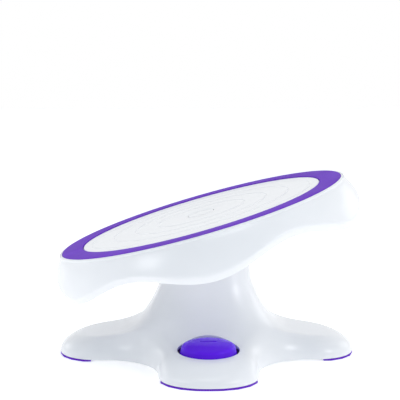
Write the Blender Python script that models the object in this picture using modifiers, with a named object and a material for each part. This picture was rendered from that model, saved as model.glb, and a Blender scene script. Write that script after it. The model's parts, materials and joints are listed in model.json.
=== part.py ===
"""Tilting cake turntable: a four-legged base, a tilting head and a turning platter.

Frame: metres, +Z up, origin on the floor under the middle of the base, -Y is the front.
The tilting head and all that it carries are stored tilted by REST_TILT, left side down.
"""
import math

import bmesh
import bpy
from mathutils import Vector

MM = 0.001
GAP = 0.3 * MM

# Base: a cross of four rounded legs that flares up into a hollow column
LEG_REACH = 165.6 * MM
LEG_HALF_WIDTH = 52.9 * MM
LEG_FILLET = 60.2 * MM
LEG_CORNER = 44.0 * MM
LEG_END_RADIUS = 120.0 * MM
WALL = 3.0 * MM
SHELL_BOTTOM = 2.3 * MM
SIDE_HEIGHT = 8.0 * MM
SHOULDER = 16.0 * MM
COLUMN_TOP = 112.0 * MM
NECK_HEIGHT = 49.6 * MM
TIP_TOP = 18.0 * MM
TIP_DROP = 0.6
MOUTH_LEDGE = 11.0 * MM
SECTION_POWER = 3.0
FLARE_AXIS = 40.0 * MM
FLARE_FLOOR = 15.0 * MM
FLARE_SCALE = 29.2 * MM
BOSS_PLACE = 60.0 * MM
BOSS_RADIUS = 5.0 * MM
BOSS_TOP = 34.0 * MM
BOSS_PILOT = 2.3 * MM
BOSS_PILOT_TOP = 24.0 * MM
SCREW_HOLE = 1.8 * MM
SCREW_HEAD = 1.6 * MM

# Underside
FOOT_HEIGHT = 2.0 * MM
FOOT_START = 128.0 * MM
PLATE_THICK = 2.5 * MM
PLATE_INSET = WALL + 0.8 * MM

# Release button, its lever and the lock rod
BUTTON_Y = -104.0 * MM
BUTTON_RADIUS = 30.0 * MM
BUTTON_SQUASH = 0.85
BUTTON_TOP = 37.0 * MM
BUTTON_HOLE = 33.0 * MM
BUTTON_HOLE_SQUASH = 0.81
BUTTON_SLOPE = math.radians(5.3)
BUTTON_SEAT = 17.3 * MM
LEVER_BOTTOM = 11.4 * MM
LEVER_TOP = 16.4 * MM
LEVER_HALF_WIDTH = 2.5 * MM
LEVER_PIVOT_Y = 95.0 * MM
PIN_RADIUS = 2.0 * MM
ROD_HALF_X = 6.0 * MM
ROD_HALF_Y = 3.5 * MM
ROD_BOTTOM = 8.0 * MM
ROD_COLLAR_BOTTOM = 84.0 * MM
ROD_COLLAR_RADIUS = 11.0 * MM
TOWER_TOP = 60.0 * MM
TOWER_WALL = 3.0 * MM
TOWER_FOOT = 3.0 * MM

# Tilt axle and index sector
PIVOT_Z = 135.3 * MM
REST_TILT = math.radians(16.0)
TILT_STEP = math.radians(8.0)
TILT_STEPS_EACH_WAY = 3
AXLE_RADIUS = 4.0 * MM
AXLE_HALF_LENGTH = 38.0 * MM
EAR_INNER_Y = 27.0 * MM
EAR_THICK = 6.0 * MM
EAR_RADIUS = 9.0 * MM
LUG_Y = 19.0 * MM
LUG_THICK = 7.0 * MM
YOKE_THICK = 3.5 * MM
YOKE_SIZE = 44.0 * MM
YOKE_SCREW = 31.5 * MM
SECTOR_RADIUS = 32.0 * MM
SECTOR_THICK = 6.0 * MM
NOTCH_DEPTH = 2.6 * MM

# Turning platter, measured along its own axis from the tilt axle
RING_TOP = 24.3 * MM
DECK_TOP = 23.5 * MM
DECK_THICK = 2.7 * MM
HUB_SINK = 3.0 * MM
RING_THICK = 2.5 * MM
RIM_STEP = 0.5 * MM
HEAD_TOP = 13.1 * MM
HEAD_THICK = 3.5 * MM
HEAD_RADIUS = 56.0 * MM
RACE_RADIUS = 46.0 * MM
RACE_HALF_WIDTH = 8.0 * MM
BALL_RADIUS = 2.5 * MM
BALLS = 12
BALL_CENTRE = 17.1 * MM
RING_OUTER = 162.0 * MM
RING_INNER = 138.0 * MM
RIM_RADIUS = 163.6 * MM
SKIRT_RADIUS = 178.0 * MM
SKIRT_BULGE_DEPTH = 46.0 * MM
SKIRT_DEPTH = 37.6 * MM
LOBE_DEPTH = 8.4 * MM
LOBES = 6
LIP_HEIGHT = 7.5 * MM
LIP_TURN_IN = 2.6 * MM


def clear_scene():
    for old in list(bpy.data.objects):
        bpy.data.objects.remove(old, do_unlink=True)


def make_collection(name):
    group = bpy.data.collections.new(name)
    bpy.context.scene.collection.children.link(group)
    return group


def make_material(name, colour, roughness, metallic=0.0):
    material = bpy.data.materials.new(name)
    material.use_nodes = True
    shader = material.node_tree.nodes["Principled BSDF"]
    shader.inputs["Base Color"].default_value = (*colour, 1.0)
    shader.inputs["Roughness"].default_value = roughness
    shader.inputs["Metallic"].default_value = metallic
    return material


clear_scene()
PARTS = make_collection("cake_turntable")
CUTTERS = make_collection("cake_turntable_cutters")
WHITE = make_material("white_abs", (0.86, 0.88, 0.91), 0.22)
INNER = make_material("inner_abs", (0.80, 0.82, 0.85), 0.45)
PURPLE = make_material("purple_abs", (0.13, 0.02, 0.62), 0.25)
GRIP = make_material("purple_rubber", (0.16, 0.04, 0.55), 0.5)
STEEL = make_material("steel", (0.62, 0.62, 0.64), 0.3, 1.0)
ZINC = make_material("zinc_screw", (0.66, 0.67, 0.70), 0.35, 1.0)
ACETAL = make_material("acetal", (0.85, 0.85, 0.82), 0.4)


# ---------------------------------------------------------------- helpers
def place(name, data, material, parent=None, at=(0, 0, 0), turn=(0, 0, 0), cutter=False):
    thing = bpy.data.objects.new(name, data)
    (CUTTERS if cutter else PARTS).objects.link(thing)
    thing.location = at
    thing.rotation_euler = turn
    thing.parent = parent
    if cutter:
        thing.hide_render = True
        thing.display_type = "WIRE"
    else:
        data.materials.append(material)
    return thing


def finish_mesh(name, bm):
    bmesh.ops.recalc_face_normals(bm, faces=bm.faces)
    mesh = bpy.data.meshes.new(name)
    bm.to_mesh(mesh)
    bm.free()
    return mesh


def box(name, low, high, material=None, parent=None, cutter=False):
    bm = bmesh.new()
    bmesh.ops.create_cube(bm, size=1.0)
    low, high = Vector(low), Vector(high)
    bmesh.ops.scale(bm, vec=high - low, verts=bm.verts)
    bmesh.ops.translate(bm, vec=(low + high) / 2, verts=bm.verts)
    return place(name, finish_mesh(name, bm), material, parent, cutter=cutter)


TURNS = {"X": (0, math.pi / 2, 0), "Y": (-math.pi / 2, 0, 0), "Z": (0, 0, 0)}


def rod(name, radius, low, high, axis="Z", at=(0, 0, 0), material=None, parent=None, sides=24,
        cutter=False):
    """A cylinder along one axis, from low to high measured from the point it is placed at."""
    bm = bmesh.new()
    bmesh.ops.create_cone(bm, cap_ends=True, segments=sides, radius1=radius, radius2=radius,
                          depth=high - low)
    bmesh.ops.translate(bm, vec=(0, 0, (low + high) / 2), verts=bm.verts)
    thing = place(name, finish_mesh(name, bm), material, parent, at, TURNS[axis], cutter)
    if not cutter:
        smooth(thing)
    return thing


def smooth(thing):
    thing.data.shade_smooth()
    thing.data.set_sharp_from_angle(angle=math.radians(35))


def turned(name, profile, material, parent=None, at=(0, 0, 0), steps=48, closed=False, turn=(0, 0, 0)):
    """A profile of (radius, height) points turned about Z, outer side running downwards."""
    bm = bmesh.new()
    verts = [bm.verts.new((r, 0, z)) for r, z in profile]
    pairs = list(zip(verts, verts[1:])) + ([(verts[-1], verts[0])] if closed else [])
    for a, b in pairs:
        bm.edges.new((a, b))
    mesh = bpy.data.meshes.new(name)
    bm.to_mesh(mesh)
    bm.free()
    thing = place(name, mesh, material, parent, at, turn)
    screw = thing.modifiers.new("turn", "SCREW")
    screw.steps = steps
    screw.render_steps = steps
    screw.use_merge_vertices = True
    screw.merge_threshold = 0.00001
    return thing


def washer(name, inner, outer, bottom, top, material, parent=None, at=(0, 0, 0), steps=48, turn=(0, 0, 0)):
    profile = [(inner, top), (outer, top), (outer, bottom), (inner, bottom)]
    return turned(name, profile, material, parent, at, steps, closed=True, turn=turn)


def plate(name, loops, bottom, top, material, parent=None, turn=(0, 0, 0)):
    """Flat outlines with holes, extruded between two heights along the plate's own Z."""
    curve = bpy.data.curves.new(name, "CURVE")
    curve.dimensions = "2D"
    curve.fill_mode = "BOTH"
    curve.extrude = (top - bottom) / 2
    for loop in loops:
        spline = curve.splines.new("POLY")
        spline.points.add(len(loop) - 1)
        for point, (x, y) in zip(spline.points, loop):
            point.co = (x, y, (top + bottom) / 2, 1)
        spline.use_cyclic_u = True
    draft = bpy.data.objects.new(name + "_draft", curve)
    CUTTERS.objects.link(draft)
    bpy.context.view_layer.update()
    solid = bpy.data.meshes.new_from_object(draft.evaluated_get(bpy.context.evaluated_depsgraph_get()))
    bpy.data.objects.remove(draft, do_unlink=True)
    bm = bmesh.new()
    bm.from_mesh(solid)
    bmesh.ops.remove_doubles(bm, verts=bm.verts, dist=0.00001)
    bmesh.ops.translate(bm, vec=(0, 0, (top + bottom) / 2 - sum(v.co.z for v in bm.verts) / len(bm.verts)),
                        verts=bm.verts)
    return place(name, finish_mesh(name, bm), material, parent, turn=turn)


def combine(thing, helper, operation):
    step = thing.modifiers.new(helper.name, "BOOLEAN")
    step.operation = operation
    step.object = helper
    step.solver = "EXACT"


def circle(radius, count, centre=(0.0, 0.0), squash=1.0):
    steps = [math.tau * i / count for i in range(count)]
    return [(centre[0] + radius * math.cos(a), centre[1] + squash * radius * math.sin(a)) for a in steps]


def squircle(size, count):
    """Soft-cornered square outline with the given half-width."""
    points = []
    for i in range(count):
        c, s = math.cos(math.tau * i / count), math.sin(math.tau * i / count)
        reach = size / (abs(c) ** SECTION_POWER + abs(s) ** SECTION_POWER) ** (1 / SECTION_POWER)
        points.append((reach * c, reach * s))
    return points


def arc(centre, radius, start, end, steps):
    angles = [math.radians(start + (end - start) * i / steps) for i in range(steps + 1)]
    return [(centre[0] + radius * math.cos(a), centre[1] + radius * math.sin(a)) for a in angles]


def cross_octant(inset):
    """The cross's outline from the tip of the +X leg to the diagonal between two legs."""
    end_radius, corner = LEG_END_RADIUS - inset, LEG_CORNER - inset
    half, fillet = LEG_HALF_WIDTH - inset, LEG_FILLET + inset
    end_x = LEG_REACH - LEG_END_RADIUS
    corner_x = end_x + math.sqrt((end_radius - corner) ** 2 - (half - corner) ** 2)
    meet = math.degrees(math.atan2(half - corner, corner_x - end_x))
    points = arc((end_x, 0), end_radius, 0, meet, 2)
    points += arc((corner_x, half - corner), corner, meet, 90, 2)[1:]
    points += arc((half + fillet, half + fillet), fillet, -90, -135, 2)
    return points


def cross_outline(inset=0.0):
    octant = cross_octant(inset)
    quarter = octant + [(y, x) for x, y in reversed(octant[1:-1])]
    points = []
    for turn in range(4):
        c, s = (1, 0, -1, 0)[turn], (0, 1, 0, -1)[turn]
        points += [(x * c - y * s, x * s + y * c) for x, y in quarter]
    return points


# ---------------------------------------------------------------- base
def reach_of(x, y):
    """How far out a point lies, on a scale whose level lines are the column's sections."""
    return (abs(x) ** SECTION_POWER + abs(y) ** SECTION_POWER) ** (1 / SECTION_POWER)


def flare_height(reach):
    """Leg tops and column foot are one curve: low and level far out, steep near the column."""
    return FLARE_FLOOR + FLARE_SCALE ** 2 / (reach - FLARE_AXIS)


def column_reach(height):
    return FLARE_AXIS + FLARE_SCALE ** 2 / (height - FLARE_FLOOR)


def base_rings():
    """Closed rings of the base's outer surface, from its bottom edge up to the column's mouth."""
    rings = [[(x, y, SHELL_BOTTOM) for x, y in cross_outline()]]
    for part in (0.0, 0.12, 0.4, 1.0):
        rise = math.sqrt(1 - (1 - part) ** 2)
        ring = []
        for x, y in cross_outline(SHOULDER * part):
            top = min(flare_height(reach_of(x, y)), SIDE_HEIGHT + 2.0 * SHOULDER)
            tip = max(0.0, math.hypot(x, y) - FOOT_START) / (LEG_REACH - FOOT_START)
            top -= (top - TIP_TOP) * TIP_DROP * tip
            ring.append((x, y, SIDE_HEIGHT + (top - SIDE_HEIGHT) * rise))
        rings.append(ring)
    shoulder = rings[-1]
    neck_reach = column_reach(NECK_HEIGHT)
    for part in (0.33, 0.66, 1.0):
        ring = []
        for x, y, z in shoulder:
            scale = neck_reach / reach_of(x, y)
            nx, ny = x + (x * scale - x) * part, y + (y * scale - y) * part
            ring.append((nx, ny, z + (flare_height(reach_of(nx, ny)) - z) * min(1.0, 2.5 * part)))
        rings.append(ring)
    neck = rings[-1]
    for part in (0.15, 0.35, 0.6, 1.0):
        height = neck[0][2] + (COLUMN_TOP - neck[0][2]) * part
        scale = column_reach(height) / neck_reach
        rings.append([(x * scale, y * scale, height) for x, y, z in neck])
    mouth = column_reach(COLUMN_TOP)
    scale = (mouth - MOUTH_LEDGE) / mouth
    rings.append([(x * scale, y * scale, COLUMN_TOP) for x, y, z in rings[-1]])
    return rings


def loft(name, rings):
    bm = bmesh.new()
    rows = [[bm.verts.new(point) for point in ring] for ring in rings]
    for low, high in zip(rows, rows[1:]):
        for i in range(len(low)):
            j = (i + 1) % len(low)
            bm.faces.new((low[i], low[j], high[j], high[i]))
    mesh = bpy.data.meshes.new(name)
    bm.to_mesh(mesh)
    bm.free()
    return mesh


def make_base_shell():
    shell = place("base_shell", loft("base_shell", base_rings()), WHITE)
    skin = shell.modifiers.new("wall", "SOLIDIFY")
    skin.thickness = WALL
    skin.offset = -1.0
    hole = rod("button_hole", BUTTON_HOLE, 0, 60 * MM, at=(0, BUTTON_Y, BUTTON_SEAT), sides=32,
               cutter=True)
    hole.scale.y = BUTTON_HOLE_SQUASH
    hole.rotation_euler.x = BUTTON_SLOPE
    combine(shell, hole, "DIFFERENCE")
    for i, (x, y) in enumerate(diagonals(BOSS_PLACE)):
        boss = rod(f"boss_{i}", BOSS_RADIUS, SHELL_BOTTOM + PLATE_THICK + GAP, BOSS_TOP,
                   at=(x, y, 0), sides=16, cutter=True)
        combine(shell, boss, "UNION")
        pilot = rod(f"boss_pilot_{i}", BOSS_PILOT, 0, BOSS_PILOT_TOP, at=(x, y, 0), sides=8, cutter=True)
        combine(shell, pilot, "DIFFERENCE")
    for i, (x, y) in enumerate(diagonals(YOKE_SCREW)):
        bore = rod(f"ledge_hole_{i}", SCREW_HOLE, 100 * MM, 120 * MM, at=(x, y, 0), sides=8, cutter=True)
        combine(shell, bore, "DIFFERENCE")
    smooth(shell)


def diagonals(distance):
    return [(distance, distance), (-distance, distance), (-distance, -distance), (distance, -distance)]


def make_base_plate():
    holes = [circle(BOSS_PILOT, 8, centre) for centre in diagonals(BOSS_PLACE)]
    plate("base_plate", [cross_outline(PLATE_INSET)] + holes, SHELL_BOTTOM, SHELL_BOTTOM + PLATE_THICK,
          INNER)


def make_feet():
    tip = [(x, y) for x, y in cross_outline() if x > FOOT_START]
    tip.sort(key=lambda point: point[1])
    half = max(y for x, y in tip)
    outline = [(FOOT_START, -half)] + tip + [(FOOT_START, half)]
    for i, side in enumerate(("right", "back", "left", "front")):
        plate(f"foot_{side}", [outline], 0, FOOT_HEIGHT, GRIP, turn=(0, 0, i * math.pi / 2))


def make_screw(name, head_radius, head, shank_radius, length, at, material=ZINC, parent=None, up=True):
    """A round-headed screw: the head's outer face is at the place given, the shank runs inwards."""
    way = 1 if up else -1
    profile = [(0, 0), (head_radius, 0), (head_radius, head), (shank_radius, head),
               (shank_radius, length), (0, length)]
    profile = [(r, way * z) for r, z in profile]
    if up:
        profile.reverse()
    return turned(name, profile, material, parent, at, steps=12)


def make_base_screws():
    for i, (x, y) in enumerate(diagonals(BOSS_PLACE)):
        make_screw(f"base_screw_{i + 1}", 3.6 * MM, SCREW_HEAD, 1.9 * MM, 20 * MM,
                   (x, y, SHELL_BOTTOM - GAP - SCREW_HEAD))


# ---------------------------------------------------------------- tilt yoke
def make_yoke():
    slot_x, slot_y = SECTOR_RADIUS - 1 * MM, SECTOR_THICK / 2 + 1.5 * MM
    slot = [(-slot_x, -slot_y), (slot_x, -slot_y), (slot_x, slot_y), (-slot_x, slot_y)]
    holes = [circle(SCREW_HOLE, 8, centre) for centre in diagonals(YOKE_SCREW)]
    bottom = COLUMN_TOP + GAP
    yoke = plate("pivot_yoke", [squircle(YOKE_SIZE, 32), slot] + holes, bottom, bottom + YOKE_THICK, INNER)
    for side in (-1, 1):
        near, far = sorted((side * EAR_INNER_Y, side * (EAR_INNER_Y + EAR_THICK)))
        web = box(f"ear_web_{side}", (-14 * MM, near, bottom + 1 * MM), (14 * MM, far, PIVOT_Z - 3 * MM),
                  cutter=True)
        combine(yoke, web, "UNION")
        eye = rod(f"ear_eye_{side}", EAR_RADIUS, near, far, "Y", (0, 0, PIVOT_Z), sides=20, cutter=True)
        combine(yoke, eye, "UNION")
    bore = rod("yoke_bore", AXLE_RADIUS + GAP, -60 * MM, 60 * MM, "Y", (0, 0, PIVOT_Z), sides=16, cutter=True)
    combine(yoke, bore, "DIFFERENCE")
    for i, (x, y) in enumerate(diagonals(YOKE_SCREW)):
        make_screw(f"yoke_screw_{i + 1}", 3.2 * MM, 1.8 * MM, 1.5 * MM, 12 * MM,
                   (x, y, bottom + YOKE_THICK + GAP + 1.8 * MM), up=False)


def make_axle():
    profile = [(0, AXLE_HALF_LENGTH), (AXLE_RADIUS, AXLE_HALF_LENGTH)]
    groove = EAR_INNER_Y + EAR_THICK + GAP
    for way in (1, -1):
        ends = [(AXLE_RADIUS, groove + 1.4 * MM), (AXLE_RADIUS - 1 * MM, groove + 1.4 * MM),
                (AXLE_RADIUS - 1 * MM, groove), (AXLE_RADIUS, groove)]
        profile += [(r, way * y) for r, y in (ends if way == 1 else reversed(ends))]
    profile += [(AXLE_RADIUS, -AXLE_HALF_LENGTH), (0, -AXLE_HALF_LENGTH)]
    turned("tilt_axle", profile, STEEL, at=(0, 0, PIVOT_Z), steps=16, turn=TURNS["Y"])
    for name, side in (("front", -1), ("back", 1)):
        middle = side * (groove + 0.7 * MM)
        washer(f"axle_clip_{name}", AXLE_RADIUS - 0.7 * MM, AXLE_RADIUS + 2.6 * MM, -0.5 * MM, 0.5 * MM,
               STEEL, at=(0, middle, PIVOT_Z), steps=16, turn=TURNS["Y"])


# ---------------------------------------------------------------- release gear
def make_button():
    """A hollow domed cap on a short stem, measured from the stem's lower end."""
    body, top = BUTTON_RADIUS, BUTTON_TOP - BUTTON_SEAT
    shoulder = [math.radians(d) for d in (15, 35, 55, 75, 90)]
    edge = [(body - 9 * MM * (1 - math.sin(a)), top - 7.5 * MM + 6.5 * MM * math.cos(a)) for a in shoulder]
    profile = [(0, top), (14 * MM, top - 0.3 * MM)] + edge
    profile += [(body, 1.5 * MM), (body + 4.0 * MM, 1.5 * MM), (body + 4.0 * MM, 0), (body - 2.2 * MM, 0),
                (body - 2.2 * MM, top - 9.5 * MM), (body - 7 * MM, top - 4.5 * MM),
                (5 * MM, top - 4 * MM), (5 * MM, 0), (0, 0)]
    button = turned("release_button", profile, PURPLE, at=(0, BUTTON_Y, BUTTON_SEAT), steps=24,
                    turn=(BUTTON_SLOPE, 0, 0))
    button.scale.y = BUTTON_SQUASH
    way = box("button_way", (-LEVER_HALF_WIDTH - 1 * MM, BUTTON_Y + 12 * MM, 10 * MM),
              (LEVER_HALF_WIDTH + 1 * MM, BUTTON_Y + 40 * MM, 26 * MM), cutter=True)
    combine(button, way, "DIFFERENCE")


def coil(name, radius, wire, bottom, top, turns, at):
    """A compression spring as one wire, with its end turns level with its seats."""
    curve = bpy.data.curves.new(name, "CURVE")
    curve.dimensions = "3D"
    curve.bevel_depth = wire
    curve.bevel_resolution = 2
    curve.use_fill_caps = True
    per_turn = 8
    spline = curve.splines.new("POLY")
    count = turns * per_turn + 1
    spline.points.add(count - 1)
    for i, point in enumerate(spline.points):
        angle = math.tau * i / per_turn
        height = bottom + wire + (top - bottom - 2 * wire) * i / (count - 1)
        point.co = (radius * math.cos(angle), radius * math.sin(angle), height, 1)
    return place(name, curve, STEEL, at=at)


def make_springs():
    seat = SHELL_BOTTOM + PLATE_THICK + GAP
    for name, side in (("left", -1), ("right", 1)):
        coil(f"button_spring_{name}", 4.5 * MM, 0.6 * MM, seat + GAP, BUTTON_TOP - 5.5 * MM, 3,
             (side * 15 * MM, BUTTON_Y, 0))
    coil("rod_spring", 9.2 * MM, 0.6 * MM, TOWER_TOP + 2 * GAP, ROD_COLLAR_BOTTOM - 2 * GAP, 3, (0, 0, 0))


def make_lever():
    front = BUTTON_Y - 8 * MM
    bar = box("release_lever", (-LEVER_HALF_WIDTH, front, LEVER_BOTTOM),
              (LEVER_HALF_WIDTH, LEVER_PIVOT_Y, LEVER_TOP), ACETAL)
    mid = (LEVER_BOTTOM + LEVER_TOP) / 2
    eye = rod("lever_eye", 4.5 * MM, -LEVER_HALF_WIDTH, LEVER_HALF_WIDTH, "X", (0, LEVER_PIVOT_Y, mid),
              sides=24, cutter=True)
    combine(bar, eye, "UNION")
    pad = rod("lever_pad", 7 * MM, LEVER_BOTTOM, LEVER_TOP, at=(0, BUTTON_Y, 0), sides=24, cutter=True)
    combine(bar, pad, "UNION")
    bore = rod("lever_bore", PIN_RADIUS + GAP, -10 * MM, 10 * MM, "X", (0, LEVER_PIVOT_Y, mid), sides=16,
               cutter=True)
    combine(bar, bore, "DIFFERENCE")


def make_lever_bracket():
    seat = SHELL_BOTTOM + PLATE_THICK + GAP
    mid = (LEVER_BOTTOM + LEVER_TOP) / 2
    inner, outer = LEVER_HALF_WIDTH + 0.5 * MM, LEVER_HALF_WIDTH + 3.5 * MM
    foot = box("lever_bracket", (-12 * MM, LEVER_PIVOT_Y - 7 * MM, seat),
               (12 * MM, LEVER_PIVOT_Y + 7 * MM, 7 * MM), INNER)
    for side in (-1, 1):
        low, high = sorted((side * inner, side * outer))
        cheek = box(f"bracket_cheek_{side}", (low, LEVER_PIVOT_Y - 5 * MM, 6 * MM),
                    (high, LEVER_PIVOT_Y + 5 * MM, mid + 4.5 * MM), cutter=True)
        combine(foot, cheek, "UNION")
    bore = rod("bracket_bore", PIN_RADIUS + GAP, -20 * MM, 20 * MM, "X", (0, LEVER_PIVOT_Y, mid), sides=16,
               cutter=True)
    combine(foot, bore, "DIFFERENCE")
    rod("lever_pin", PIN_RADIUS, -outer - 1 * MM, outer + 1 * MM, "X", (0, LEVER_PIVOT_Y, mid), STEEL,
        sides=16)


def make_lock_rod():
    tip_top = PIVOT_Z - SECTOR_RADIUS - 0.4 * MM
    tip = tip_top - NOTCH_DEPTH
    outline = [(-ROD_HALF_X, ROD_BOTTOM), (ROD_HALF_X, ROD_BOTTOM), (ROD_HALF_X, tip - 4 * MM),
               (1.7 * MM, tip), (0.9 * MM, tip_top), (-0.9 * MM, tip_top), (-1.7 * MM, tip),
               (-ROD_HALF_X, tip - 4 * MM)]
    bar = plate("lock_rod", [outline], -ROD_HALF_Y, ROD_HALF_Y, ACETAL, turn=(math.pi / 2, 0, 0))
    collar = rod("rod_collar", ROD_COLLAR_RADIUS, ROD_COLLAR_BOTTOM, ROD_COLLAR_BOTTOM + 3 * MM, sides=32,
                 cutter=True)
    combine(bar, collar, "UNION")
    slack = 0.5 * MM
    window = box("rod_window", (-LEVER_HALF_WIDTH - slack, -20 * MM, LEVER_BOTTOM - slack),
                 (LEVER_HALF_WIDTH + slack, 20 * MM, LEVER_TOP + slack), cutter=True)
    combine(bar, window, "DIFFERENCE")


def make_guide_tower():
    """A square tube on the base plate that keeps the lock rod upright."""
    seat = SHELL_BOTTOM + PLATE_THICK + GAP
    slack = 0.4 * MM
    inner_x, inner_y = ROD_HALF_X + slack, ROD_HALF_Y + slack
    tower = box("guide_tower", (-inner_x - TOWER_WALL, -inner_y - TOWER_WALL, seat),
                (inner_x + TOWER_WALL, inner_y + TOWER_WALL, TOWER_TOP), INNER)
    foot = box("tower_foot", (-24 * MM, -11 * MM, seat), (24 * MM, 11 * MM, seat + TOWER_FOOT), cutter=True)
    combine(tower, foot, "UNION")
    head = rod("tower_head", 13 * MM, TOWER_TOP - 3 * MM, TOWER_TOP, sides=32, cutter=True)
    combine(tower, head, "UNION")
    bore = box("tower_bore", (-inner_x, -inner_y, 0), (inner_x, inner_y, 100 * MM), cutter=True)
    combine(tower, bore, "DIFFERENCE")
    way = box("tower_way", (-LEVER_HALF_WIDTH - 1 * MM, -20 * MM, seat + TOWER_FOOT - 1 * MM),
              (LEVER_HALF_WIDTH + 1 * MM, 20 * MM, LEVER_TOP + 3 * MM), cutter=True)
    combine(tower, way, "DIFFERENCE")
    for name, side in (("left", -1), ("right", 1)):
        x = side * 18 * MM
        hole = rod(f"tower_hole_{name}", SCREW_HOLE, 0, 20 * MM, at=(x, 0, 0), sides=8, cutter=True)
        combine(tower, hole, "DIFFERENCE")
        make_screw(f"tower_screw_{name}", 3.2 * MM, SCREW_HEAD, 1.5 * MM, 4.3 * MM,
                   (x, 0, seat + TOWER_FOOT + GAP + SCREW_HEAD), up=False)


# ---------------------------------------------------------------- tilting head
def make_empty(name, parent=None, at=(0, 0, 0), turn=(0, 0, 0)):
    empty = bpy.data.objects.new(name, None)
    PARTS.objects.link(empty)
    empty.parent = parent
    empty.location = at
    empty.rotation_euler = turn
    return empty


def make_tilt_head(tilt):
    bottom = HEAD_TOP - HEAD_THICK
    head = rod("tilt_head", HEAD_RADIUS, bottom, HEAD_TOP, material=INNER, parent=tilt, sides=40)
    spigot = rod("head_spigot", 9 * MM, HEAD_TOP - 1 * MM, 17.2 * MM - GAP, parent=tilt, sides=16,
                 cutter=True)
    combine(head, spigot, "UNION")
    for name, side in (("front", -1), ("back", 1)):
        near, far = sorted((side * (LUG_Y - LUG_THICK / 2), side * (LUG_Y + LUG_THICK / 2)))
        web = box(f"lug_web_{name}", (-9 * MM, near, -1 * MM), (9 * MM, far, bottom + 1 * MM), parent=tilt,
                  cutter=True)
        combine(head, web, "UNION")
        eye = rod(f"lug_eye_{name}", 9.2 * MM, near, far, "Y", parent=tilt, sides=20, cutter=True)
        combine(head, eye, "UNION")
    bore = rod("head_bore", 6 * MM + GAP, -26 * MM, 26 * MM, "Y", parent=tilt, sides=16, cutter=True)
    combine(head, bore, "DIFFERENCE")
    centre = rod("head_centre", 2.6 * MM, bottom - 2 * MM, 20 * MM, parent=tilt, sides=16, cutter=True)
    combine(head, centre, "DIFFERENCE")
    for name, side in (("front", -1), ("back", 1)):
        washer(f"tilt_bush_{name}", AXLE_RADIUS + GAP, 6 * MM, -LUG_THICK / 2, LUG_THICK / 2, ACETAL, tilt,
               (0, side * LUG_Y, 0), steps=16, turn=TURNS["Y"])


def sector_outline():
    """A sector hanging from the head, with a notch for each lock position along its arc."""
    reach = TILT_STEPS_EACH_WAY * TILT_STEP + math.radians(5)
    half = 1.4 * MM / SECTOR_RADIUS
    points = [(14 * MM, HEAD_TOP - HEAD_THICK - GAP)]
    corners = [(reach, 0)]
    for step in range(TILT_STEPS_EACH_WAY, -TILT_STEPS_EACH_WAY - 1, -1):
        middle = step * TILT_STEP
        corners += [(middle + 1.6 * half, 0), (middle + half, NOTCH_DEPTH),
                    (middle - half, NOTCH_DEPTH), (middle - 1.6 * half, 0)]
    corners.append((-reach, 0))
    for angle, cut in corners:
        radius = SECTOR_RADIUS - cut
        points.append((radius * math.sin(angle), -radius * math.cos(angle)))
    points.append((-14 * MM, HEAD_TOP - HEAD_THICK - GAP))
    return points


def make_index_sector(tilt):
    loops = [sector_outline(), circle(AXLE_RADIUS + 2 * GAP, 24)]
    half = SECTOR_THICK / 2
    plate("index_sector", loops, -half, half, STEEL, tilt, turn=(math.pi / 2, 0, 0))


def make_bearing(tilt, cage, spin):
    low_face, high_face = BALL_CENTRE - BALL_RADIUS, BALL_CENTRE + BALL_RADIUS
    inner, outer = RACE_RADIUS - RACE_HALF_WIDTH, RACE_RADIUS + RACE_HALF_WIDTH
    groove = 2.4 * MM
    lip = 0.6 * MM
    lower = [(inner, low_face + lip), (RACE_RADIUS - groove, low_face + lip),
             (RACE_RADIUS, low_face - GAP), (RACE_RADIUS + groove, low_face + lip),
             (outer, low_face + lip), (outer, HEAD_TOP + GAP), (inner, HEAD_TOP + GAP)]
    turned("lower_race", lower, STEEL, tilt, steps=24, closed=True)
    deck_under = DECK_TOP - DECK_THICK
    upper = [(inner, deck_under - GAP), (outer, deck_under - GAP), (outer, high_face - lip),
             (RACE_RADIUS + groove, high_face - lip), (RACE_RADIUS, high_face + GAP),
             (RACE_RADIUS - groove, high_face - lip), (inner, high_face - lip)]
    turned("upper_race", upper, STEEL, spin, steps=24, closed=True)
    ring = washer("ball_cage", RACE_RADIUS - 5 * MM, RACE_RADIUS + 5 * MM, BALL_CENTRE - 0.8 * MM,
                  BALL_CENTRE + 0.8 * MM, ACETAL, cage, steps=24)
    for i in range(BALLS):
        angle = math.tau * (i + 0.5) / BALLS
        spot = (RACE_RADIUS * math.cos(angle), RACE_RADIUS * math.sin(angle), BALL_CENTRE)
        pocket = rod(f"pocket_{i}", BALL_RADIUS + 0.4 * MM, -3 * MM, 3 * MM, at=spot, parent=cage, sides=8,
                     cutter=True)
        combine(ring, pocket, "DIFFERENCE")
        bm = bmesh.new()
        bmesh.ops.create_uvsphere(bm, u_segments=8, v_segments=6, radius=BALL_RADIUS)
        ball = place(f"ball_{i + 1:02d}", finish_mesh("ball", bm), STEEL, cage, spot)
        ball.data.shade_smooth()


# ---------------------------------------------------------------- platter
def lobe_depth(angle):
    """Depth of the skirt under the ring at an angle round the platter."""
    return SKIRT_DEPTH + LOBE_DEPTH * math.cos(LOBES * (angle + math.pi / 2))


def skirt_radius(depth):
    bulge = max(0.0, 1 - depth / SKIRT_BULGE_DEPTH)
    return SKIRT_RADIUS - (SKIRT_RADIUS - RIM_RADIUS) * bulge ** 2


def platter_rows():
    """Rows of the outer surface from the middle of the deck out to the rim, as (radius, height)."""
    seat = RING_TOP - RING_THICK - GAP
    return [(4.4 * MM, DECK_TOP - HUB_SINK), (15 * MM, DECK_TOP - HUB_SINK), (16 * MM, DECK_TOP),
            (RING_INNER - 1.4 * MM, DECK_TOP), (RING_INNER - GAP, seat),
            (RING_OUTER + GAP, seat), (RING_OUTER + 2 * GAP, RING_TOP - RIM_STEP - GAP),
            (RIM_RADIUS, RING_TOP - RIM_STEP)]


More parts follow.
